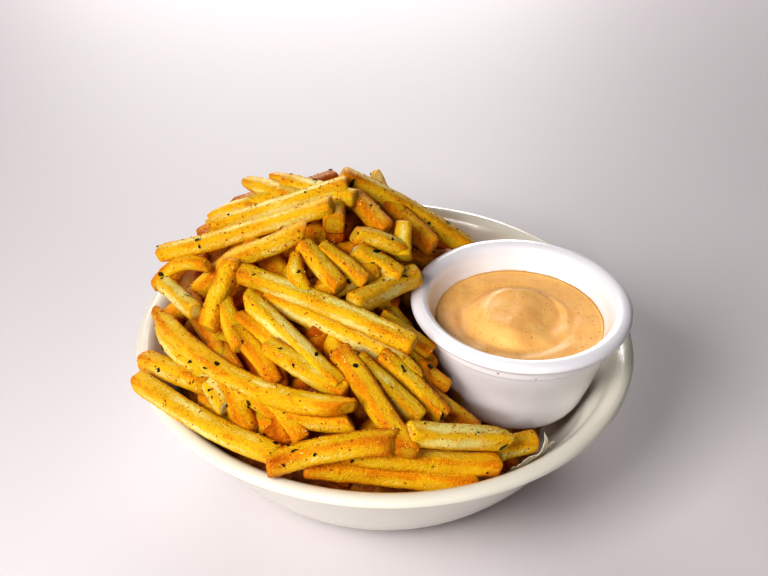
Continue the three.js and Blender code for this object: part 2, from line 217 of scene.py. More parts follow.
# Layers of fries under the top ones, each spread by the same rule. The first is the solid
# model's own, but for the two of which only a share is left, from the higher end, so that the
# ramekin's side shows. The other lies deeper and closes the view into the heap.
# Their tones run darker than their browning alone: painted shade for their depth in the heap,
# darkest in the deeper layer.
LAYERS = (
    {
        "seed": 7,
        "tries": 60,
        "lengths": (48, 82),
        "widths": (6.0, 7.2),
        "depths": (2, 6),
        "sides": 16,
        "spacing": 2.4,
        "browning_and_painted_shade": (0.5, 1.2),
        "left": {18: 0.76, 29: 0.76},
    },
    {
        "seed": 31,
        "tries": 90,
        "lengths": (44, 74),
        "widths": (5.8, 6.8),
        "depths": (9, 13),
        "sides": 8,
        "spacing": 2.4,
        "browning_and_painted_shade": (1.1, 1.6),
        "left": {},
    },
)
# The ends that a fry beneath can have, as often as they stand here
ENDS_BENEATH = (SQUARE, SQUARE, SLANT, POINT, SQUARE, BROKEN)
# How much of the mound a layer covers, how much deeper it lies in front, how often a fry is
# shortened, to what share of itself, and how short it may get
SPREAD = 0.96
FRONT_SINK = 3
CUTS = 5
SHORTEN = 0.8
SHORTEST = 22

# The core under the fries: its depth under the mound, its radius, how far in its foot stands,
# the heights of its wall's rows, how far under the ramekin it stays, and how steeply and from
# what share of the ramekin's radius it rises round it
CORE = {
    "depth": 15,
    "radius": 79,
    "inset": 12,
    "wall": (12, 20, 30, 40),
    "under_cup": 3,
    "bank": 60,
    "bank_from": 0.75,
    "rows": 24,
    "facets": 72,
}

# The dip: how high and from what share of its radius it clings to the ramekin's wall, and how
# far its edge laps into that wall
DIP = {"cling": 0.5, "cling_from": 0.965, "lap": 0.15, "rows": 60, "segments": 144}

# The scrap of paper, a strip with a torn point that leans in from the bowl's wall
PAPER = {
    "angles": (-57, -42),
    "foot": 38,
    "rise": 6,
    "clear": 1.2,
    "thickness": 0.25,
    "fringe": 1.1,
    "crease": 0.5,
    "folds": 0.9,
    "fold": 0.6,
    "torn": {"at": 0.75, "reach": 0.13, "rise": 7, "fold": 3},
    "columns": 64,
    "rows": 28,
}

# The camera looks along +Y and down, with a slight roll
CAMERA = {"place": (-0.73, -371.95, 328.82), "down": 34.72, "roll": 0.98, "lens": 56.25}
FLOOR_REACH = 4000

# Lights, with places and sizes in metres
LIGHTS = {
    "key": {
        "kind": "AREA",
        "place": (-0.32, -0.42, 0.455),
        "target": (0.0, 0.0, 0.04),
        "shape": {"size": 0.31},
    },
    "back": {
        "kind": "AREA",
        "place": (-0.10, 1.15, 0.42),
        "target": (0.0, 0.0, 0.04),
        "shape": {"size": 0.7},
    },
    "accent": {
        "kind": "SPOT",
        "place": (-0.03, -0.67, 0.41),
        "target": (0.024, -0.030, 0.062),
        "shape": {"spot_size": math.radians(9), "spot_blend": 1.0, "shadow_soft_size": 0.05},
    },
}
LIGHT_COLOUR = (1.0, 0.97, 0.965)
ROOM_COLOUR = (1.0, 0.97, 0.985)


# ---------------------------------------------------------------- settings


Colour = partial(FloatVectorProperty, subtype="COLOR")
Length = partial(FloatProperty, unit="LENGTH")
Power = partial(FloatProperty, unit="POWER")
Amount = partial(FloatProperty, min=0.0)


class FRIES_PG_bowl(bpy.types.PropertyGroup):
    """Sizes and colour of the bowl"""

    rim: Length(
        name="Rim radius",
        description="Outer radius of the rolled rim",
        default=(BOWL_BOX[1][0] - BOWL_BOX[0][0]) / 2,
    )
    height: Length(
        name="Height", description="Height of the rim over the table", default=BOWL_BOX[1][2]
    )
    glaze: Colour(
        name="Glaze", description="Colour of the bowl's glaze", default=(0.86, 0.835, 0.74)
    )


class FRIES_PG_ramekin(bpy.types.PropertyGroup):
    """Colour and smear of the ramekin"""

    glaze: Colour(
        name="Glaze", description="Colour of the ramekin's glaze", default=(0.91, 0.895, 0.925)
    )
    smear: Length(
        name="Smear",
        description="Height over the dip that its smear reaches on the wall",
        default=0.0012,
    )


class FRIES_PG_dip(bpy.types.PropertyGroup):
    """Swirl and colours of the dip"""

    swirl: Length(
        name="Swirl radius",
        description="Radius of the swirl that a spoon has drawn",
        default=0.0195,
    )
    rise: Length(
        name="Swirl rise",
        description="Height of the swirl's crest over the dip's edge",
        default=0.0040,
    )
    trough: Length(
        name="Trough",
        description="Depth of the hollow at the swirl's right side",
        default=0.0013,
    )
    colour: Colour(name="Colour", description="Colour of the dip", default=(0.92, 0.49, 0.15))
    spice: Colour(
        name="Spice", description="Colour of the spice in the dip", default=(0.36, 0.10, 0.025)
    )


class FRIES_PG_fries(bpy.types.PropertyGroup):
    """Colours, plumpness and relief of the fries"""

    pale: Colour(
        name="Pale", description="Colour of the least fried faces", default=(0.98, 0.85, 0.29)
    )
    golden: Colour(
        name="Golden", description="Colour of an ordinary face", default=(0.88, 0.53, 0.012)
    )
    edge: Colour(
        name="Edge", description="Colour of the crisp edges", default=(0.75, 0.27, 0.003)
    )
    browned: Colour(
        name="Browned",
        description="Colour of ends that have fried longest",
        default=(0.46, 0.09, 0.001),
    )
    inside: Colour(
        name="Inside", description="Colour of a broken end", default=(0.95, 0.78, 0.38)
    )
    plump: FloatProperty(
        name="Plumpness",
        description="Thickness of a rounded fry against the square bar in the solid model",
        default=1.1,
    )
    blister: Length(
        name="Blister",
        description="Height of the crisp surface's fine relief",
        default=0.001,
    )


class FRIES_PG_seasoning(bpy.types.PropertyGroup):
    """Amount of what is sprinkled over the fries, for a square metre of their surface"""

    herbs: Amount(
        name="Herb flakes", description="Herb flakes for a square metre", default=7000.0
    )
    paprika: Amount(
        name="Paprika specks", description="Paprika specks for a square metre", default=130000.0
    )
    salt: Amount(
        name="Salt grains", description="Salt grains for a square metre", default=8000.0
    )
    crumbs: Amount(
        name="Crumbs", description="Crumbs of crust for a square metre", default=240000.0
    )
    seed: IntProperty(
        name="Seed", description="Number that settles where each grain falls", default=4
    )


class FRIES_PG_paper(bpy.types.PropertyGroup):
    """Colour of the paper liner"""

    colour: Colour(name="Colour", description="Colour of the paper", default=(0.86, 0.80, 0.70))


class FRIES_PG_stage(bpy.types.PropertyGroup):
    """Light and floor"""

    key: Power(
        name="Key light",
        description="Power of the light at the left of the camera",
        default=4.3,
    )
    back: Power(
        name="Back light",
        description="Power of the low, wide light behind the bowl",
        default=10.5,
    )
    accent: Power(
        name="Accent",
        description="Power of the narrow light on the ramekin's side",
        default=9.0,
    )
    fill: Amount(
        name="Fill", description="Strength of the light from all around", default=0.045
    )
    floor: Colour(
        name="Floor", description="Colour of the floor", default=(0.75, 0.71, 0.725)
    )


# ---------------------------------------------------------------- materials


class Wire:
    """A shader value that Python's operators turn into Math nodes."""

    def __init__(self, finish, socket):
        self.finish = finish
        self.socket = socket

    def _math(self, operation, first, second):
        return self.finish.node("ShaderNodeMath", {"operation": operation}, {0: first, 1: second})

    def __add__(self, other):
        return self._math("ADD", self, other)

    __radd__ = __add__

    def __sub__(self, other):
        return self._math("SUBTRACT", self, other)

    def __rsub__(self, other):
        return self._math("SUBTRACT", other, self)

    def __mul__(self, other):
        return self._math("MULTIPLY", self, other)

    __rmul__ = __mul__


class Finish:
    """A material under construction, with its Principled shader."""

    def __init__(self, name):
        self.material = bpy.data.materials.new(name)
        self.material.use_nodes = True
        self.tree = self.material.node_tree
        self.shader = self.tree.nodes["Principled BSDF"]

    def node(self, kind, settings=None, inputs=None, output=0):
        """Adds a node, sets it up, feeds its sockets and returns one of its outputs."""
        made = self.tree.nodes.new(kind)
        for name, value in (settings or {}).items():
            setattr(made, name, value)
        for name, value in (inputs or {}).items():
            self.feed(made.inputs[name], value)
        return Wire(self, made.outputs[output])

    def feed(self, socket, value):
        if isinstance(value, Wire):
            self.tree.links.new(value.socket, socket)
        elif socket.type == "RGBA":
            socket.default_value = (*value, 1.0)
        else:
            socket.default_value = value

    def attribute(self, name, output="Fac"):
        return self.node("ShaderNodeAttribute", {"attribute_name": name}, output=output)

    def place(self):
        return self.node("ShaderNodeTexCoord", output="Object")

    def stretched(self, vector, scale):
        return self.node("ShaderNodeMapping", inputs={"Vector": vector, "Scale": scale})

    def noise(self, vector, scale, detail=2.0, roughness=0.5, distortion=0.0):
        inputs = {
            "Vector": vector,
            "Scale": scale,
            "Detail": detail,
            "Roughness": roughness,
            "Distortion": distortion,
        }
        return self.node("ShaderNodeTexNoise", inputs=inputs)

    def step(self, value, low, high):
        """Eases from 0 at low to 1 at high."""
        inputs = {"Value": value, "From Min": low, "From Max": high}
        return self.node("ShaderNodeMapRange", {"interpolation_type": "SMOOTHSTEP"}, inputs)

    def mix(self, factor, first, second):
        """Blends two colours."""
        made = self.tree.nodes.new("ShaderNodeMix")
        made.data_type = "RGBA"
        self.feed(made.inputs[0], factor)
        self.feed(made.inputs[6], first)
        self.feed(made.inputs[7], second)
        return Wire(self, made.outputs[2])

    def bump(self, height, distance, strength=1.0):
        inputs = {"Height": height, "Distance": distance, "Strength": strength}
        return self.node("ShaderNodeBump", inputs=inputs)

    def shade(self, **values):
        """Feeds the shader: names are its sockets, with _ for a space."""
        for name, value in values.items():
            self.feed(self.shader.inputs[name.replace("_", " ")], value)
        return self.material


def fry_finish(name, fries):
    """Fried potato: golden faces, orange edges, browned ends and crisp blisters."""
    f = Finish(name)
    grain = f.attribute("grain", "Vector")
    tone = f.attribute("tone")
    crust = f.attribute("crust")
    cut = f.attribute("cut")
    mottle = f.noise(f.stretched(grain, (0.09, 0.2, 0.2)), 1.0, 4.0, 0.6)
    fine = f.noise(grain, 0.9, 3.0, 0.6)
    grit = f.noise(grain, 2.1, 2.0, 0.6)
    uneven = (mottle - 0.5) * 1.2 + (fine - 0.5) * 0.7
    # tone is the fry's browning and, for the fries beneath and some on the front rim, painted
    # shade too
    fried = crust * 0.7 + tone * 0.9 + uneven + 0.34
    colour = f.mix(f.step(fried, 0.5, 0.95), tuple(fries.pale), tuple(fries.golden))
    colour = f.mix(f.step(fried, 1.0, 1.5), colour, tuple(fries.edge))
    colour = f.mix(f.step(fried, 1.45, 1.95), colour, tuple(fries.browned))
    broken = f.step(cut + fine * 0.5, 0.6, 1.0)
    colour = f.mix(broken * 0.75, colour, tuple(fries.inside))
    colour = f.mix(f.step(grit, 0.5, 0.7) * 0.25, colour, tuple(fries.edge))
    dust = f.step(grit + mottle * 0.5, 0.88, 0.98)
    colour = f.mix(dust * 0.6, colour, (0.36, 0.075, 0.004))
    relief = fine * 0.6 + grit * 0.5
    return f.shade(
        Base_Color=colour,
        Roughness=f.step(fine, 0.3, 0.7) * 0.15 + 0.4,
        Specular_IOR_Level=0.35,
        Specular_Tint=(1.0, 0.72, 0.22),
        Subsurface_Weight=0.35,
        Subsurface_Radius=(1.0, 0.35, 0.03),
        Subsurface_Scale=0.0025,
        Normal=f.bump(relief, fries.blister),
    )


def core_painted_shade_finish():
    """Painted shade deep in the heap: a dark red-brown, mottled filler where the fries lie in
    shadow.
    """
    f = Finish("heap_core")
    patches = f.noise(f.place(), 220.0, 4.0, 0.6)
    # painted shade: dark red-brown standing for the shadowed depths between the fries
    colour = f.mix(f.step(patches, 0.35, 0.65), (0.28, 0.06, 0.001), (0.50, 0.18, 0.005))
    return f.shade(Base_Color=colour, Roughness=0.7, Normal=f.bump(patches, 0.002))


def bowl_finish(bowl):
    """Ivory glaze, warmer and a little darker in a band along the rim, with fine specks."""
    f = Finish("bowl_glaze")
    place = f.place()
    cloud = f.noise(place, 28.0, 3.0)
    # a warmer, darker band along the rim
    rim_band = f.step(f.attribute("height"), 0.047, 0.0515) * 0.35
    glaze = tuple(bowl.glaze)
    deep = tuple(channel * 0.9 for channel in glaze)
    warm = (glaze[0] * 0.97, glaze[1] * 0.93, glaze[2] * 0.82)
    colour = f.mix(f.step(cloud, 0.3, 0.7) * 0.5, glaze, deep)
    colour = f.mix(rim_band, colour, warm)
    specks = f.step(f.noise(place, 900.0, 1.0), 0.77, 0.8)
    colour = f.mix(specks * 0.5, colour, (0.36, 0.31, 0.25))
    wave = f.noise(place, 60.0, 2.0, 0.4)
    return f.shade(
        Base_Color=colour,
        Roughness=f.step(cloud, 0.2, 0.8) * 0.08 + 0.17,
        Coat_Weight=0.25,
        Coat_Roughness=0.08,
        Normal=f.bump(wave, 0.0006, 0.5),
    )


def ramekin_finish(ramekin):
    """White glaze with the dip's smear just over its edge, and two dark specks."""
    f = Finish("ramekin_glaze")
    place = f.place()
    cloud = f.noise(place, 40.0, 3.0)
    glaze = tuple(ramekin.glaze)
    shade = tuple(channel * 0.95 for channel in glaze)
    colour = f.mix(f.step(cloud, 0.3, 0.7) * 0.4, glaze, shade)
    over = f.attribute("height") - CUP["fill"] * MM
    ragged = over + (f.noise(place, 190.0, 3.0, 0.6) - 0.5) * 0.0022
    smear = (1 - f.step(ragged, 0.0002, ramekin.smear)) * f.attribute("inside")
    colour = f.mix(smear * 0.75, colour, (0.80, 0.50, 0.27))
    for centre in SPECKS:
        inputs = {0: place, 1: tuple(part * MM for part in centre)}
        away = f.node("ShaderNodeVectorMath", {"operation": "DISTANCE"}, inputs, "Value")
        speck = 1 - f.step(away + f.noise(place, 2200.0) * 0.0004, 0.0004, 0.0008)
        colour = f.mix(speck * 0.85, colour, (0.08, 0.06, 0.05))
    wave = f.noise(place, 70.0, 2.0, 0.4)
    return f.shade(
        Base_Color=colour,
        Roughness=f.step(cloud, 0.2, 0.8) * 0.07 + 0.2 + smear * 0.2,
        Coat_Weight=0.3,
        Coat_Roughness=0.1,
        Normal=f.bump(wave, 0.0005, 0.4),
    )


def dip_finish(dip):
    """Creamy dip, mottled by its spoon marks, with spice all through it."""
    f = Finish("dip")
    place = f.place()
    base = tuple(dip.colour)
    light = (min(1, base[0] * 1.05), base[1] * 1.16, base[2] * 1.2)
    mottle = f.noise(place, 95.0, 4.0, 0.55, 0.6)
    colour = f.mix(f.step(mottle, 0.35, 0.68), base, light)
    oil = f.step(f.noise(place, 160.0, 3.0, 0.6), 0.56, 0.72)
    colour = f.mix(oil * 0.35, colour, (0.80, 0.36, 0.07))
    specks = f.step(f.noise(place, 1000.0, 2.0, 0.6), 0.64, 0.7)
    colour = f.mix(specks * 0.6, colour, tuple(dip.spice))
    grains = f.noise(place, 900.0, 3.0, 0.6)
    ripple = f.noise(place, 210.0, 3.0)
    return f.shade(
        Base_Color=colour,
        Roughness=f.step(mottle, 0.3, 0.7) * 0.12 + 0.34,
        Specular_IOR_Level=0.3,
        Subsurface_Weight=0.1,
        Subsurface_Radius=(1.0, 0.5, 0.2),
        Subsurface_Scale=0.0015,
        Normal=f.bump(grains * 0.2 + ripple, 0.0004, 0.8),
    )


def paper_finish(paper):
    """Greaseproof paper, spotted with oil."""
    f = Finish("paper")
    place = f.place()
    oily = f.step(f.noise(place, 160.0, 3.0, 0.6), 0.45, 0.6)
    base = tuple(paper.colour)
    colour = f.mix(oily * 0.6, base, (base[0] * 0.82, base[1] * 0.72, base[2] * 0.5))
    fibres = f.noise(place, 1500.0, 3.0, 0.7)
    return f.shade(
        Base_Color=colour,
        Roughness=0.62 - oily * 0.25,
        Subsurface_Weight=0.3,
        Subsurface_Radius=(1.0, 0.9, 0.75),
        Subsurface_Scale=0.001,
        Normal=f.bump(fibres, 0.0001, 0.6),
    )


def herb_finish():
    """Dried leaf, near black."""
    f = Finish("herb")
    leaf = f.noise(f.place(), 700.0)
    colour = f.mix(f.step(leaf, 0.4, 0.62), (0.010, 0.009, 0.003), (0.05, 0.045, 0.008))
    normal = f.bump(leaf, 0.0003)
    return f.shade(Base_Color=colour, Roughness=0.7, Specular_IOR_Level=0.15, Normal=normal)


def paprika_finish():
    """Brownish red powder."""
    f = Finish("paprika")
    tint = f.noise(f.place(), 800.0, 1.0)
    colour = f.mix(f.step(tint, 0.35, 0.65), (0.32, 0.04, 0.005), (0.56, 0.14, 0.015))
    return f.shade(Base_Color=colour, Roughness=0.65, Specular_IOR_Level=0.2)


def crumb_finish():
    """Crumbs of the fries' own crust."""
    f = Finish("crumb")
    tint = f.noise(f.place(), 420.0)
    colour = f.mix(f.step(tint, 0.35, 0.65), (0.80, 0.30, 0.01), (0.92, 0.60, 0.10))
    return f.shade(Base_Color=colour, Roughness=0.6, Specular_IOR_Level=0.25)


def salt_finish():
    """Frosted grains."""
    f = Finish("salt")
    frost = f.noise(f.place(), 2600.0)
    colour = f.mix(frost, (0.93, 0.90, 0.82), (0.80, 0.72, 0.55))
    return f.shade(Base_Color=colour, Roughness=frost * 0.2 + 0.2)


def floor_finish(stage):
    """Plain, pale floor."""
    f = Finish("floor")
    base = tuple(stage.floor)
    speckle = f.noise(f.place(), 900.0)
    colour = f.mix(speckle * 0.3, base, tuple(channel * 0.98 for channel in base))
    return f.shade(Base_Color=colour, Roughness=0.55, Specular_IOR_Level=0.3)


# ---------------------------------------------------------------- meshes


def add_object(name, points, faces, material, attributes=None, smooth=True):
    """Adds a mesh object at the origin from points in millimetres."""
    mesh = bpy.data.meshes.new(name)
    mesh.from_pydata((np.asarray(points, dtype=float) * MM).tolist(), [], faces)
    for key, values in (attributes or {}).items():
        values = np.asarray(values, dtype=np.float32)
        kind, field = ("FLOAT_VECTOR", "vector") if values.ndim == 2 else ("FLOAT", "value")
        mesh.attributes.new(key, kind, "POINT").data.foreach_set(field, values.ravel())
    mesh.materials.append(material)
    mesh.polygons.foreach_set("use_smooth", [smooth] * len(mesh.polygons))
    mesh.update()
    return link(name, mesh)


def link(name, data):
    """Puts an object with this data in the scene."""
    made = bpy.data.objects.new(name, data)
    bpy.context.scene.collection.objects.link(made)
    return made


def finish_piece(piece, node):
    """Makes a piece part of the model, in the place of a node."""
    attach(piece, BODY)
    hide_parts(node)


def smooth_profile(points, steps):
    """A smooth curve through points, whose slopes are weighted by their distances."""
    points = np.asarray(points, dtype=float)
    spans = np.linalg.norm(np.diff(points, axis=0), axis=1)
    slopes = np.diff(points, axis=0) / spans[:, None]
    inner = slopes[:-1] * spans[1:, None] + slopes[1:] * spans[:-1, None]
    inner = inner / (spans[:-1] + spans[1:])[:, None]
    tangents = np.vstack([slopes[:1], inner, slopes[-1:]])
    made = [points[0]]
    for i, span in enumerate(spans):
        for t in np.linspace(0, 1, steps + 1)[1:]:
            start = (2 * t**3 - 3 * t**2 + 1) * points[i]
            leave = (t**3 - 2 * t**2 + t) * span * tangents[i]
            end = (3 * t**2 - 2 * t**3) * points[i + 1]
            arrive = (t**3 - t**2) * span * tangents[i + 1]
            made.append(start + leave + end + arrive)
    return np.array(made)


def revolve(profile, segments):
    """Points and faces of a profile turned about Z, which starts and ends on the axis."""
    rings = profile[1:-1]
    turn = np.linspace(0, 2 * math.pi, segments, endpoint=False)
    points = [(0.0, 0.0, profile[0][1])]
    for radius, height in rings:
        points.extend((radius * math.cos(a), radius * math.sin(a), height) for a in turn)
    points.append((0.0, 0.0, profile[-1][1]))
    last = len(points) - 1
    top = 1 + (len(rings) - 1) * segments
    faces = []
    for k in range(segments):
        after = (k + 1) % segments
        faces.append((0, 1 + after, 1 + k))
        for low in range(1, top, segments):
            high = low + segments
            faces.append((low + k, low + after, high + after, high + k))
        faces.append((top + k, top + after, last))
    return np.array(points), faces


# ---------------------------------------------------------------- shared forms


class Draws:
    """The same even draws from 0 to 1 each time, by a linear congruential rule."""

    FACTOR, STEP, RANGE = 1664525, 1013904223, 2**32

    def __init__(self, seed):
        self.state = seed

    def __call__(self):
        self.state = (self.state * self.FACTOR + self.STEP) % self.RANGE
        return self.state / self.RANGE

    def between(self, limits):
        return limits[0] + (limits[1] - limits[0]) * self()


def bowl_radius(z):
    share = min(max(z / (BOWL_HEIGHT - BOWL["lip"]), 0), 1)
    return BOWL["foot"] + (BOWL["shoulder"] - BOWL["foot"]) * share ** BOWL["belly"]


def bowl_inner_radius(z):
    return bowl_radius(z) - BOWL["wall"]


def cup_matrix():
    """Places the ramekin's own millimetres in the bowl."""
    lean_front, lean_right = (math.radians(angle) for angle in CUP["lean"])
    turn = Matrix.Rotation(lean_front, 4, "X") @ Matrix.Rotation(lean_right, 4, "Y")
    drop = turn @ Vector((0, 0, -CUP["height"]))
    return Matrix.Translation(Vector(CUP["rim_centre"]) + drop) @ turn


def placed(points, matrix):
    turn = np.array(matrix.to_3x3())
    return np.asarray(points) @ turn.T + np.array(matrix.translation)


def mound_height(x, y):
    right = x - MOUND["centre"][0]
    back = y - MOUND["centre"][1]
    across = right / MOUND["right" if right > 0 else "left"]
    along = back / MOUND["back" if back > 0 else "front"]
    spread = across**2 + along**2
    return MOUND["foot"] + (1 - spread) * MOUND["rise" if spread < 1 else "fall"]


def clears(point, reach, into_cup):
    """Whether a fry's thickness round a point clears the bowl, the cup and the space over it."""
    radius = math.hypot(point.x, point.y)
    low = point.z - reach
    if low < BOWL_HEIGHT and radius + reach > bowl_inner_radius(low) - GAP:
        return False
    local = into_cup @ point
    under_lip = CUP["height"] - CUP["lip"]
    share = min(max(local.z / (under_lip - CUP["collar"]), 0), 1)
    cone = CUP["heel"] + (CUP["neck"] - CUP["heel"]) * share
    body = CUP["rim"] if local.z > under_lip - reach else cone
    inside = math.hypot(local.x, local.y) < body + reach + GAP
    return not (inside and -reach - GAP < local.z < CUP["height"] + 2 * reach)


def layer_fries(layer):
    """Fries spread over the mound at a depth, those in the dishes' way shortened or left out."""
    draw = Draws(layer["seed"])
    into_cup = cup_matrix().inverted()
    golden_angle = math.pi * (3 - math.sqrt(5))
    made = []
    for i in range(layer["tries"]):
        out = math.sqrt((i + 0.5) / layer["tries"]) * SPREAD
        across = out * math.cos(i * golden_angle)
        along = out * math.sin(i * golden_angle)
        x = MOUND["centre"][0] + across * MOUND["right" if across > 0 else "left"]
        y = MOUND["centre"][1] + along * MOUND["back" if along > 0 else "front"]
        heading = math.pi * draw()
        width = draw.between(layer["widths"])
        depth = draw.between(layer["depths"]) + (FRONT_SINK if along < 0 else 0)
        half = draw.between(layer["lengths"]) / 2
        for _ in range(CUTS):
            ends = []
            for reach in (-half, half):
                px = x + reach * math.cos(heading)
                py = y + reach * math.sin(heading)
                ends.append(Vector((px, py, mound_height(px, py) - depth)))
            stations = (ends[0].lerp(ends[1], share) for share in (0, 0.25, 0.5, 0.75, 1))
            if all(clears(station, width * 0.6, into_cup) for station in stations):
                if (ends[1] - ends[0]).xy.length > SHORTEST:
                    made.append((ends[0], ends[1], width))
                break
            half *= SHORTEN
    for number, share in layer["left"].items():
        low, high, width = made[number]
        made[number] = (high.lerp(low, share), high, width)
    return made


# ---------------------------------------------------------------- fries


class Bar:
    """One fry's line, with the chance that makes its section differ from the next one's."""

    def __init__(self, fry, draw):
        self.start, self.bow = Vector(fry.start), Vector(fry.bow)
        self.width, self.tone = fry.width, fry.tone
        span = Vector(fry.end) - self.start
        self.length = span.length
        self.along = span.normalized()
        self.side = Vector((0, 0, 1)).cross(self.along).normalized()
        self.up = self.along.cross(self.side)
        self.ends = [self.shape(kind, draw) for kind in fry.ends]
        self.roll = math.radians(draw.between(VARIETY["roll"]))
        self.twist = math.radians(draw.between(VARIETY["twist"]))
        self.sway = draw.between(VARIETY["sway"])
        self.phase = draw.between((0, 2 * math.pi))
        self.shift = Vector([draw() * VARIETY["shift"] for _ in range(3)])
        self.flat = draw.between(VARIETY["flat"])
        self.square = draw.between(VARIETY["square"])

    def shape(self, kind, draw):
        """An end's shape, with its slant along both sides of the section."""
        turn = 2 * math.pi * draw()
        shape = dict(END_SHAPES[kind])
        slant = shape["slant"]
        shape["slant"] = (slant * math.cos(turn), slant * math.sin(turn))
        return shape

    def centre(self, at):
        """The middle of the section at a distance along the fry."""
        share = at / self.length
        centre = self.start + self.along * at + self.bow * (1 - (2 * share - 1) ** 2)
        return centre + self.side * self.sway * math.sin(2.2 * math.pi * share + self.phase)

    def across(self, u, v, at):
        """A direction of the section, turned as the fry is at a distance along it."""
        roll = self.roll + self.twist * (at / self.length - 0.5)
        turned_u = u * math.cos(roll) - v * math.sin(roll)
        turned_v = u * math.sin(roll) + v * math.cos(roll)
        return self.side * turned_u + self.up * turned_v

    def section(self, angle):
        """A point of the rounded square section, with half sides of about 1."""
        u, v = math.cos(angle), math.sin(angle)
        reach = (abs(u) ** self.square + abs(v) ** self.square) ** (-1 / self.square)
        return u * reach, v * reach * self.flat


class FryBuilder:
    """Gathers the points and faces of many fries, and what their finish reads at each point."""

    def __init__(self, plump):
        self.plump = plump
        self.points = []
        self.faces = []
        self.marks = {"tone": [], "crust": [], "cut": [], "grain": []}

    def put(self, point, **marks):
        self.points.append(tuple(point))
        for key, value in marks.items():
            self.marks[key].append(value)

    def add(self, bar, sides, spacing):
        length = bar.length
        inner = max(3, round((length - 2 * EVEN_FROM) / spacing))
        middle = np.linspace(EVEN_FROM, length - EVEN_FROM, inner)
        far_end = [length - at for at in reversed(END_SECTIONS)]
        stations = [*END_SECTIONS, *middle, *far_end]
        first = len(self.points)
        for at in stations:
            self.ring(bar, at, sides)
        last = first + (len(stations) - 1) * sides
        for low in range(first, last, sides):
            for k in range(sides):
                after = (k + 1) % sides
                quad = (low + k, low + after, low + sides + after, low + sides + k)
                self.faces.append(quad)
        self.cap(bar, first, sides, 0)
        self.cap(bar, last, sides, 1)

    def ring(self, bar, at, sides):
        """One section of a fry, narrower, slanted and crusted towards the nearer end."""
        near = int(at >= bar.length - at)
        shape = bar.ends[near]
        distance = min(at, bar.length - at)
        share = min(distance / shape["reach"], 1)
        taper = shape["taper"] + (1 - shape["taper"]) * share * (2 - share)
        bevel = 1 - SKIN["bevel"] * max(0, 1 - distance / SKIN["bevel_reach"]) ** 2
        half = bar.width / 2 * self.plump * taper * bevel
        fall = math.exp(-distance / SKIN["slant_fade"])
        centre = bar.centre(at)
        for k in range(sides):
            angle = 2 * math.pi * k / sides
            u, v = bar.section(angle)
            across = bar.across(u, v, at)
            slant = shape["slant"][0] * u + shape["slant"][1] * v
            point = centre + across * half
            point = point + bar.along * (slant * half * fall * (1 if near else -1))
            corner = (1 - math.cos(4 * angle)) / 2
            sample = Vector((at, u * half, v * half)) + bar.shift
            swell = sum(noise.noise(sample * scale) * rise for scale, rise in SKIN["swells"])
            chip = noise.noise(sample) * SKIN["chips"] * (0.3 + corner)
            crust = corner**1.5 * 0.7 + math.exp(-distance / SKIN["crust_fade"]) * 0.8
            point = point + across.normalized() * (swell + chip)
            self.put(point, tone=bar.tone, crust=min(1, crust), cut=0.0, grain=tuple(sample))

    def cap(self, bar, first, sides, end):
        """Closes an end by a smaller ring and a centre, dished and rough."""
        shape = bar.ends[end]
        outward = bar.along * (1 if end else -1)
        marks = {
            "tone": bar.tone,
            "crust": 0.45 * (1 - shape["cut"]),
            "cut": 0.35 + 0.65 * shape["cut"],
        }
        ring = [Vector(point) for point in self.points[first : first + sides]]
        grains = [Vector(grain) for grain in self.marks["grain"][first : first + sides]]
        centre = sum(ring, Vector()) / sides
        inner = len(self.points)
        for corner, grain in zip(ring, grains):
            point = centre.lerp(corner, 0.55)
            bumps = noise.noise((point + bar.shift) * 0.7) * shape["rough"]
            grain = tuple(grain * 0.98 + Vector((1.3, 0, 0)))
            self.put(point + outward * (bumps + 0.12), grain=grain, **marks)
        grain = tuple(grains[0] + Vector((2.0, 1.0, 1.0)))
        self.put(centre + outward * 0.05, grain=grain, **marks)
        for k in range(sides):
            after = (k + 1) % sides
            quad = (first + k, first + after, inner + after, inner + k)
            tip = (inner + k, inner + after, inner + sides)
            self.faces.extend((quad, tip) if end else (quad[::-1], tip[::-1]))


def build_fries(name, fries, detail, settings):
    """One mesh of many fries, each drawn a little differently."""
    material = bpy.data.materials.get("fry_skin") or fry_finish("fry_skin", settings)
    builder = FryBuilder(settings.plump)
    draw = Draws(detail["seed"])
    for fry in fries:
        builder.add(Bar(fry, draw), detail["sides"], detail["spacing"])
    made = add_object(name, builder.points, builder.faces, material, builder.marks)
    finish_piece(made, "fries_heap")


class FRIES_OT_fries(bpy.types.Operator):
    """Lay the fries that show on top of the heap"""

    bl_idname = "fries.top"
    bl_label = "Top fries"

    def execute(self, context):
        build_fries("top_fries", TOP_FRIES, TOP_DETAIL, context.scene.fries_fries)
        return {"FINISHED"}


class FRIES_OT_layers(bpy.types.Operator):
    """Lay the fries under the top ones"""

    bl_idname = "fries.layers"
    bl_label = "Fries beneath"

    def execute(self, context):
        for number, layer in enumerate(LAYERS, start=1):
            # Other draws than those that spread the layer
            draw = Draws(layer["seed"] + 100)
            fries = []
            for start, end, width in layer_fries(layer):
                bow = [draw.between((-1, 1)) for _ in range(3)]
                ends = [ENDS_BENEATH[int(draw() * len(ENDS_BENEATH))] for _ in range(2)]
                # painted shade: the layer's darker tones stand for the shade deep in the heap
                tone = draw.between(layer["browning_and_painted_shade"])
                fries.append(Fry(start, end, width, tone, ends, bow))
            build_fries(f"fries_beneath_{number}", fries, layer, context.scene.fries_fries)
        return {"FINISHED"}


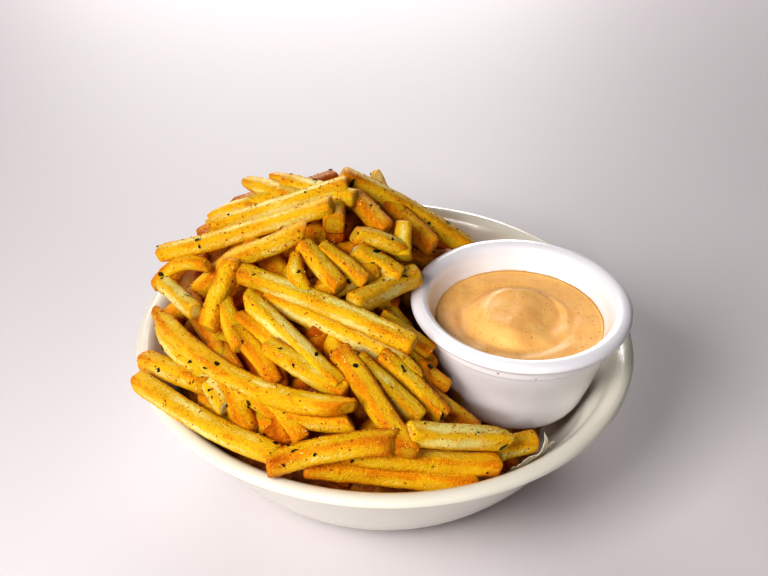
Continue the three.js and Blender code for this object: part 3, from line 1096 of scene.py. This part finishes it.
class FRIES_OT_core(bpy.types.Operator):
    """Close the view into the heap with its core"""

    bl_idname = "fries.core"
    bl_label = "Core of the heap"

    def execute(self, context):
        bottom = BOWL["floor"] + GAP
        floor = [(0, bottom), (bowl_inner_radius(BOWL["floor"]) - CORE["inset"], bottom)]
        wall = [(bowl_inner_radius(z) - 3 * GAP, z) for z in CORE["wall"]]
        shares = np.linspace(1, 0, CORE["rows"])
        dome = [(share * CORE["radius"], CORE["wall"][-1]) for share in shares]
        points, faces = revolve(floor + wall + dome, CORE["facets"])
        under_dome = (1 + len(wall)) * CORE["facets"]
        under_cup = CUP["rim_centre"][2] - CUP["height"] - CORE["under_cup"]
        into_cup = cup_matrix().inverted()
        for i, (x, y, z) in enumerate(points):
            if z <= bottom:
                continue
            top = max(mound_height(x, y) - CORE["depth"], BOWL["floor"] + 2)
            local = into_cup @ Vector((x, y, top))
            out = math.hypot(local.x, local.y) / CUP["rim"]
            top = min(top, under_cup + CORE["bank"] * max(0, out - CORE["bank_from"]))
            height = top if i > under_dome else min(z, top - GAP)
            reach = max(math.hypot(x, y), GAP)
            pull = min(1, (bowl_inner_radius(height) - 3 * GAP) / reach)
            points[i] = (x * pull, y * pull, height)
        # the core's dark colour is painted shade
        made = add_object("heap_core", points, faces, core_painted_shade_finish())
        finish_piece(made, "fries_heap")
        return {"FINISHED"}


# ---------------------------------------------------------------- dishes


class FRIES_OT_bowl(bpy.types.Operator):
    """Turn the glazed bowl"""

    bl_idname = "fries.bowl"
    bl_label = "Bowl"

    def execute(self, context):
        settings = context.scene.fries_bowl
        rim, height = settings.rim / MM, settings.height / MM
        foot, shoulder = BOWL["foot"], BOWL["shoulder"]
        ring = foot - BOWL["foot_ring"]
        under_lip = height - BOWL["lip"]
        profile = [
            (0, BOWL["recess"]),
            (ring - 2, BOWL["recess"]),
            (ring - 0.4, 0.3),
            (ring + 0.6, 0),
            (foot - 0.8, 0),
            (foot, 0.6),
            *((bowl_radius(z), z) for z in (4, 10, 18, 27, 37, 44)),
            (shoulder - 0.1, under_lip - 0.6),
            (shoulder + 0.9, under_lip),
            (rim - 1.5, under_lip + 0.5),
            (rim, height - 2.4),
            (rim - 0.4, height - 0.9),
            (rim - 1.9, height),
            (rim - 4.2, height - 0.1),
            (rim - 6.2, height - 1.4),
            (rim - 7.6, height - 3.1),
            (rim - 9.2, height - 5.6),
            *((bowl_inner_radius(z), z) for z in (42, 34, 26, 18, 12, 9)),
            (bowl_inner_radius(BOWL["floor"]) - 8, BOWL["floor"]),
            (0, BOWL["floor"]),
        ]
        steps, segments = 4, 160
        points, faces = revolve(smooth_profile(profile, steps), segments)
        attributes = {"height": points[:, 2] * MM}
        made = add_object("glazed_bowl", points, faces, bowl_finish(settings), attributes)
        finish_piece(made, "bowl")
        return {"FINISHED"}


def cup_inner_radius(z):
    """Radius of the ramekin's inner wall, from the dip up to its mouth."""
    fill, radius = CUP["fill"], CUP["fill_radius"]
    share = (z - fill) / (CUP["height"] - CUP["mouth_depth"] - fill)
    return radius + (CUP["mouth"] - 1 - radius) * share


def cup_floor(gap):
    """The ramekin's inside from under the dip's edge to its middle, drawn in by a gap."""
    wall = [(radius - gap, z + gap) for radius, z in CUP["inside"]]
    return [*wall, (0, CUP["floor"] + gap)]


class FRIES_OT_ramekin(bpy.types.Operator):
    """Turn the ramekin and stand it among the fries"""

    bl_idname = "fries.ramekin"
    bl_label = "Ramekin"

    def execute(self, context):
        settings = context.scene.fries_ramekin
        rim, height, neck, foot = CUP["rim"], CUP["height"], CUP["neck"], CUP["foot"]
        belly, mouth = CUP["belly"], CUP["mouth"]
        lip = height - CUP["lip"]
        collar = lip - CUP["collar"]
        outside = [
            (0, 1.2),
            (foot - 3.5, 1.2),
            (foot - 2.5, 0.1),
            (foot - 1, 0),
            (foot + 0.9, 0.2),
            (foot + 3.6, 1.5),
            (foot + 5.6, 4.4),
            (belly + 0.6, 10),
            (belly + (neck - belly) * 0.5, (10 + collar) / 2),
            (neck - 0.35, collar - 1.2),
            (neck, collar - 0.1),
            (neck + 0.65, collar + 0.35),
            (neck + 0.95, collar + 1.2),
            (neck + 1.7, lip - 0.5),
            (neck + 2.2, lip - 0.1),
            (rim - 0.9, lip + 0.25),
            (rim - 0.1, lip + 1.3),
            (rim - 0.1, height - 1.7),
            (rim - 0.8, height - 0.7),
            (rim - 2.3, height),
            (mouth + 1.5, height - 0.05),
            (mouth, height - 0.9),
        ]
        heights = (height - CUP["mouth_depth"], CUP["fill"] + 3, CUP["fill"])
        inside = [*((cup_inner_radius(z), z) for z in heights), *cup_floor(0)]
        steps, segments = 5, 144
        points, faces = revolve(smooth_profile(outside + inside, steps), segments)
        outer_points = 1 + segments * steps * (len(outside) - 1)
        hollow = np.arange(len(points)) >= outer_points
        attributes = {"height": points[:, 2] * MM, "inside": hollow}
        points = placed(points, cup_matrix())
        made = add_object("glazed_ramekin", points, faces, ramekin_finish(settings), attributes)
        finish_piece(made, "ramekin")
        return {"FINISHED"}


def ease(value, low, high):
    share = np.clip((value - low) / (high - low), 0, 1)
    return share * share * (3 - 2 * share)


def bell(value, centre, width):
    return np.exp(-(((value - centre) / width) ** 2))


def swirl_height(x, y, dip):
    """Height of the dip over its edge: a mound that falls into a trough on the right."""
    radius, rise, trough = dip.swirl / MM, dip.rise / MM, dip.trough / MM
    x, y = (x + 1.2) / radius, (y - 1) / radius
    share = np.hypot(x, y)
    off_right = np.angle(np.exp(1j * (np.arctan2(y, x) - 0.5)))
    facing = bell(off_right, 0, 0.8)
    mound = ease(1 - share, 0.0, 0.45 - 0.35 * facing)
    slope = rise - (rise + trough) * ease(x - 0.3 * y, -0.1, 1.0)
    ridge = 0.5 * bell(share, 1.02, 0.06) * facing
    crease = 0.7 * bell(share, 1.04, 0.12) * (1 - facing)
    peak = bell(x, -0.26, 0.26) * bell(y, 0.66, 0.22)
    return mound * slope + ridge - crease + peak


class FRIES_OT_dip(bpy.types.Operator):
    """Fill the ramekin with dip, drawn up by a spoon"""

    bl_idname = "fries.dip"
    bl_label = "Dip"

    def execute(self, context):
        settings = context.scene.fries_dip
        fill = CUP["fill"]
        edge = cup_inner_radius(fill) + DIP["lap"]
        surface = [(edge * share, fill) for share in np.linspace(1, 0, DIP["rows"])]
        profile = [*cup_floor(GAP)[::-1], (edge - 0.5, fill - 0.6), *surface]
        points, faces = revolve(profile, DIP["segments"])
        x, y = points[:, 0], points[:, 1]
        share = np.hypot(x, y) / edge

        def waves(level, scale, height):
            spots = (Vector((px, py, level)) * scale for px, py in zip(x, y))
            return height * np.array([noise.noise(spot) for spot in spots])

        start = DIP["cling_from"]
        cling = DIP["cling"] * np.clip((share - start) / (1 - start), 0, 1) ** 2
        uneven = (waves(0, 0.14, 0.35) + waves(9, 0.42, 0.06)) * (1 - ease(share, 0.9, 1.0))
        lift = swirl_height(x, y, settings) + cling + uneven
        points[:, 2] += np.where(points[:, 2] > fill - 0.01, lift, 0)
        made = add_object("dip_swirl", placed(points, cup_matrix()), faces, dip_finish(settings))
        finish_piece(made, "dip")
        return {"FINISHED"}


class FRIES_OT_paper(bpy.types.Operator):
    """Tuck the scrap of paper liner against the bowl's wall"""

    bl_idname = "fries.paper"
    bl_label = "Paper liner"

    def execute(self, context):
        columns, rows = PAPER["columns"], PAPER["rows"]
        layer = (columns + 1) * (rows + 1)

        def at(i, j, top):
            return top * layer + j * (columns + 1) + i

        points = [
            self.place(i / columns, j / rows, face)
            for face in (-0.5, 0.5)
            for j in range(rows + 1)
            for i in range(columns + 1)
        ]
        faces = []
        for j in range(rows):
            for i in range(columns):
                quad = (at(i, j, 1), at(i + 1, j, 1), at(i + 1, j + 1, 1), at(i, j + 1, 1))
                faces.append(quad)
                faces.append(tuple(index - layer for index in reversed(quad)))
        rim = [(i, 0) for i in range(columns)] + [(columns, j) for j in range(rows)]
        rim += [(i, rows) for i in range(columns, 0, -1)] + [(0, j) for j in range(rows, 0, -1)]
        for (i, j), (k, m) in zip(rim, rim[1:] + rim[:1]):
            faces.append((at(i, j, 0), at(k, m, 0), at(k, m, 1), at(i, j, 1)))
        made = add_object("paper_scrap", points, faces, paper_finish(context.scene.fries_paper))
        finish_piece(made, "paper_liner")
        return {"FINISHED"}

    def place(self, run, rise, face):
        """A point of the scrap, from its share along and up, and the side of the sheet."""
        low, high = PAPER["angles"]
        angle = math.radians(low + (high - low) * run)
        torn = PAPER["torn"]
        point = rise * max(0, 1 - abs(run - torn["at"]) / torn["reach"])
        fringe = noise.noise(Vector((run * 14, rise * 2, 3))) * PAPER["fringe"] * rise
        z = PAPER["foot"] + PAPER["rise"] * rise + torn["rise"] * point + fringe
        crease = PAPER["crease"] * math.sin(run * 13) * math.sin(rise * 4 + 1)
        folds = PAPER["folds"] * abs(noise.noise(Vector((run * 11, rise * 3, 0))))
        lean = PAPER["fold"] * rise * rise + torn["fold"] * point * rise
        middle = bowl_inner_radius(z) - PAPER["clear"] - crease - lean - folds
        radius = middle + face * PAPER["thickness"]
        return (radius * math.cos(angle), radius * math.sin(angle), z)


# ---------------------------------------------------------------- seasoning

# Where grains fall: how little a face may look up, how far over it a ray starts that has to
# reach the sky, how that ray leans, and its length
LOOKS_UP = -0.1
RAY_START = 0.5 * MM
SKYWARD = (0.0, 0.0, 0.8)
RAY_LENGTH = 0.2
# How fine the patches are in which grains gather, where in their pattern a patch begins and is
# full, and how fine the grains' ragged outlines are
PATCH_SCALE = 55.0
PATCH_EDGES = (0.4, 0.62)
RAGGED_SCALE = 1300.0
# The least share of its drawn size that a grain has, and how far it tilts
LEAST_SHARE = 0.35
TILT = 0.35
# The scatter's named inputs
SCATTER_INPUTS = {
    "Density": "NodeSocketFloat",
    "Seed": "NodeSocketInt",
    "Smallest": "NodeSocketVector",
    "Largest": "NodeSocketVector",
    "Clumping": "NodeSocketFloat",
    "Raggedness": "NodeSocketFloat",
    "Edges": "NodeSocketFloat",
    "Lift": "NodeSocketFloat",
}


def scatter_tree(name, shape, material):
    """A node tree that scatters grains of a shape over what a mesh shows from above."""
    tree = bpy.data.node_groups.new(name, "GeometryNodeTree")
    tree.is_modifier = True
    face = tree.interface
    face.new_socket("Geometry", in_out="INPUT", socket_type="NodeSocketGeometry")
    for label, kind in SCATTER_INPUTS.items():
        face.new_socket(label, in_out="INPUT", socket_type=kind)
    face.new_socket("Geometry", in_out="OUTPUT", socket_type="NodeSocketGeometry")

    def node(kind, settings=None, inputs=None):
        """Adds a node, sets it up, feeds its sockets and returns its outputs."""
        made = tree.nodes.new(kind)
        for key, value in (settings or {}).items():
            setattr(made, key, value)
        for key, value in (inputs or {}).items():
            if isinstance(value, bpy.types.NodeSocket):
                tree.links.new(value, made.inputs[key])
            else:
                made.inputs[key].default_value = value
        return made.outputs

    def maths(operation, *values):
        return node("ShaderNodeMath", {"operation": operation}, dict(enumerate(values)))[0]

    def vectors(operation, *values):
        inputs = dict(enumerate(values))
        return node("ShaderNodeVectorMath", {"operation": operation}, inputs)[0]

    def scaled(vector, scale):
        inputs = {0: vector, "Scale": scale}
        return node("ShaderNodeVectorMath", {"operation": "SCALE"}, inputs)[0]

    def drawn(low, high):
        """A vector drawn for each grain."""
        inputs = {0: low, 1: high, "Seed": given["Seed"]}
        return node("FunctionNodeRandomValue", {"data_type": "FLOAT_VECTOR"}, inputs)[0]

    def faded(value, share):
        """The value itself at a share of 1, and 1 at a share of 0."""
        return maths("MULTIPLY_ADD", value, share, maths("SUBTRACT", 1.0, share))

    given = node("NodeGroupInput")
    position = node("GeometryNodeInputPosition")[0]
    normal = node("GeometryNodeInputNormal")["Normal"]

    # Only faces that look up, or nearly so, with nothing over them
    upward = node("ShaderNodeSeparateXYZ", inputs={0: normal})["Z"]
    inputs = {0: upward, 1: LOOKS_UP}
    upper = node("FunctionNodeCompare", {"operation": "GREATER_THAN"}, inputs)[0]
    covered = node(
        "GeometryNodeRaycast",
        inputs={
            "Target Geometry": given["Geometry"],
            "Source Position": vectors("MULTIPLY_ADD", normal, (RAY_START,) * 3, position),
            "Ray Direction": vectors("ADD", normal, SKYWARD),
            "Ray Length": RAY_LENGTH,
        },
    )["Is Hit"]
    shown = node("FunctionNodeBooleanMath", {"operation": "NIMPLY"}, {0: upper, 1: covered})[0]

    # Thicker in patches, and along crusted edges
    inputs = {"Vector": position, "Scale": PATCH_SCALE, "Detail": 1.0}
    patches = node("ShaderNodeTexNoise", inputs=inputs)[0]
    inputs = {"Value": patches, "From Min": PATCH_EDGES[0], "From Max": PATCH_EDGES[1]}
    patchy = node("ShaderNodeMapRange", inputs=inputs)[0]
    crust = node("GeometryNodeInputNamedAttribute", {"data_type": "FLOAT"}, {"Name": "crust"})[0]
    density = maths("MULTIPLY", faded(crust, given["Edges"]), faded(patchy, given["Clumping"]))
    scattered = node(
        "GeometryNodeDistributePointsOnFaces",
        inputs={
            "Mesh": given["Geometry"],
            "Selection": shown,
            "Density": maths("MULTIPLY", density, given["Density"]),
            "Seed": given["Seed"],
        },
    )

    # Each grain has its own size and turn
    if shape == "CUBE":
        grain = node("GeometryNodeMeshCube", inputs={"Size": (2.0, 2.0, 2.0)})["Mesh"]
    else:
        ball = {"Radius": 1.0, "Subdivisions": shape}
        grain = node("GeometryNodeMeshIcoSphere", inputs=ball)["Mesh"]
    inputs = {2: LEAST_SHARE, 3: 1.0, "Seed": given["Seed"]}
    share = node("FunctionNodeRandomValue", inputs=inputs)[1]
    spin = drawn((-TILT, -TILT, -math.pi), (TILT, TILT, math.pi))
    inputs = {0: scattered["Rotation"], 1: spin}
    turned = node("FunctionNodeRotateRotation", {"rotation_space": "LOCAL"}, inputs)[0]
    inputs = {0: scattered["Points"], "Offset": scaled(scattered["Normal"], given["Lift"])}
    lifted = node("GeometryNodeSetPosition", inputs=inputs)[0]
    grains = node(
        "GeometryNodeInstanceOnPoints",
        inputs={
            "Points": lifted,
            "Instance": grain,
            "Rotation": turned,
            "Scale": scaled(drawn(given["Smallest"], given["Largest"]), share),
        },
    )[0]
    real = node("GeometryNodeRealizeInstances", inputs={0: grains})[0]

    # Ragged outlines
    inputs = {"Vector": position, "Scale": RAGGED_SCALE, "Detail": 1.0}
    ragged = node("ShaderNodeTexNoise", inputs=inputs)["Color"]
    centred = vectors("SUBTRACT", ragged, (0.5, 0.5, 0.5))
    inputs = {0: real, "Offset": scaled(centred, given["Raggedness"])}
    moved = node("GeometryNodeSetPosition", inputs=inputs)[0]
    dressed = node("GeometryNodeSetMaterial", inputs={0: moved, "Material": material})[0]
    node("NodeGroupOutput", inputs={0: dressed})
    return tree


# What is sprinkled. The shape is a cube or a ball's number of subdivisions, the half sizes of
# the smallest and largest grains are in millimetres, and then come how far the grains clump,
# how ragged they are, how far they keep to the fries' edges, and how high over the surface
# their centres lie.
Grain = namedtuple("Grain", "shape finish smallest largest clumping ragged edges lift")
GRAINS = {
    "herbs": Grain(2, herb_finish, (0.35, 0.25, 0.1), (2.2, 1.15, 0.15), 0.5, 1.6, 0.0, 0.3),
    "paprika": Grain(
        1, paprika_finish, (0.25, 0.2, 0.12), (0.75, 0.6, 0.26), 0.9, 0.15, 0.2, 0.08
    ),
    "salt": Grain(
        "CUBE", salt_finish, (0.12, 0.12, 0.1), (0.26, 0.24, 0.2), 0.6, 0.1, 0.0, 0.08
    ),
    "crumbs": Grain(1, crumb_finish, (0.2, 0.18, 0.15), (0.6, 0.5, 0.4), 0.5, 0.25, 1.0, 0.0),
}


def joined(name, pieces):
    """One mesh of several pieces' faces."""
    gathered = bmesh.new()
    for piece in pieces:
        gathered.from_mesh(bpy.data.objects[piece].data)
    mesh = bpy.data.meshes.new(name)
    gathered.to_mesh(mesh)
    gathered.free()
    return mesh


def sprinkle(name, carrier, shape, material, values):
    """Scatters grains over a mesh and makes them one plain piece."""
    tree = scatter_tree(name, shape, material)
    base = link(name + "_base", carrier.copy())
    modifier = base.modifiers.new("Scatter", "NODES")
    modifier.node_group = tree
    for item in tree.interface.items_tree:
        if item.in_out == "INPUT" and item.name in values:
            modifier[item.identifier] = values[item.name]
    graph = bpy.context.evaluated_depsgraph_get()
    mesh = bpy.data.meshes.new_from_object(base.evaluated_get(graph))
    mesh.name = name
    mesh.polygons.foreach_set("material_index", [0] * len(mesh.polygons))
    mesh.materials.clear()
    mesh.materials.append(material)
    bpy.data.objects.remove(base)
    finish_piece(link(name, mesh), "fries_heap")


class FRIES_OT_seasoning(bpy.types.Operator):
    """Sprinkle herbs, paprika, salt and crumbs over the fries"""

    bl_idname = "fries.seasoning"
    bl_label = "Seasoning"

    def execute(self, context):
        amounts = context.scene.fries_seasoning
        carrier = joined("carrier", ("top_fries", "fries_beneath_1"))
        for number, (name, grain) in enumerate(GRAINS.items()):
            values = {
                "Density": getattr(amounts, name),
                "Seed": amounts.seed + number,
                "Smallest": [value * MM for value in grain.smallest],
                "Largest": [value * MM for value in grain.largest],
                "Clumping": grain.clumping,
                "Raggedness": grain.ragged * MM,
                "Edges": grain.edges,
                "Lift": grain.lift * MM,
            }
            sprinkle("seasoning_" + name, carrier, grain.shape, grain.finish(), values)
        bpy.data.meshes.remove(carrier)
        return {"FINISHED"}


# ---------------------------------------------------------------- stage


class FRIES_OT_stage(bpy.types.Operator):
    """Set the floor, the light and the camera"""

    bl_idname = "fries.stage"
    bl_label = "Stage"

    def execute(self, context):
        scene = context.scene
        settings = scene.fries_stage
        self.floor(settings)
        for name, light in LIGHTS.items():
            self.hang(name, light, getattr(settings, name))
        self.room(scene, settings.fill)
        self.camera(scene)
        scene.view_settings.view_transform = "Standard"
        scene.view_settings.look = "Medium High Contrast"
        return {"FINISHED"}

    def floor(self, settings):
        turns = ((-1, -1), (1, -1), (1, 1), (-1, 1))
        points = [(x * FLOOR_REACH, y * FLOOR_REACH, 0) for x, y in turns]
        floor = add_object("floor", points, [(0, 1, 2, 3)], floor_finish(settings), smooth=False)

    def hang(self, name, light, power):
        """Hangs a light in its place, turned to its target."""
        data = bpy.data.lights.new(name, light["kind"])
        data.energy = power
        data.color = LIGHT_COLOUR
        for key, value in light["shape"].items():
            setattr(data, key, value)
        hung = link(name, data)
        hung.location = light["place"]
        aim = Vector(light["target"]) - hung.location
        hung.rotation_euler = aim.to_track_quat("-Z", "Y").to_euler()

    def room(self, scene, strength):
        """Lets light in from all around."""
        world = bpy.data.worlds.new("room")
        world.use_nodes = True
        background = world.node_tree.nodes["Background"]
        background.inputs["Color"].default_value = (*ROOM_COLOUR, 1.0)
        background.inputs["Strength"].default_value = strength
        scene.world = world

    def camera(self, scene):
        down, roll = math.radians(CAMERA["down"]), math.radians(CAMERA["roll"])
        forward = Vector((0, math.cos(down), -math.sin(down)))
        level = Vector((1, 0, 0))
        over = level.cross(forward)
        right = level * math.cos(roll) + over * math.sin(roll)
        up = over * math.cos(roll) - level * math.sin(roll)
        data = bpy.data.cameras.new("camera")
        data.lens = CAMERA["lens"]
        data.sensor_width = 36
        data.clip_start = 0.01
        data.clip_end = 20
        camera = link("camera", data)
        turn = Matrix((right, up, -forward)).transposed().to_4x4()
        camera.matrix_world = Matrix.Translation(Vector(CAMERA["place"]) * MM) @ turn
        scene.camera = camera


# ---------------------------------------------------------------- panel and registration


OPERATORS = (
    FRIES_OT_bowl,
    FRIES_OT_ramekin,
    FRIES_OT_dip,
    FRIES_OT_core,
    FRIES_OT_fries,
    FRIES_OT_layers,
    FRIES_OT_seasoning,
    FRIES_OT_paper,
    FRIES_OT_stage,
)
SETTINGS = {
    "fries_bowl": FRIES_PG_bowl,
    "fries_ramekin": FRIES_PG_ramekin,
    "fries_dip": FRIES_PG_dip,
    "fries_fries": FRIES_PG_fries,
    "fries_seasoning": FRIES_PG_seasoning,
    "fries_paper": FRIES_PG_paper,
    "fries_stage": FRIES_PG_stage,
}


class FRIES_PT_panel(bpy.types.Panel):
    """Lists the pieces in the sidebar"""

    bl_idname = "FRIES_PT_panel"
    bl_label = "Bowl of Fries"
    bl_space_type = "VIEW_3D"
    bl_region_type = "UI"
    bl_category = "Fries"

    def draw(self, context):
        for operator in OPERATORS:
            self.layout.operator(operator.bl_idname)
        for name, group in SETTINGS.items():
            box = self.layout.box()
            for key in group.__annotations__:
                box.prop(getattr(context.scene, name), key)


def register():
    for group in (*SETTINGS.values(), *OPERATORS, FRIES_PT_panel):
        bpy.utils.register_class(group)
    for name, group in SETTINGS.items():
        setattr(bpy.types.Scene, name, PointerProperty(type=group))


def unregister():
    for name in SETTINGS:
        delattr(bpy.types.Scene, name)
    for group in reversed((*SETTINGS.values(), *OPERATORS, FRIES_PT_panel)):
        bpy.utils.unregister_class(group)


def main():
    register()
    for operator in OPERATORS:
        group, name = operator.bl_idname.split(".")
        getattr(getattr(bpy.ops, group), name)()


if __name__ == "__main__":
    main()
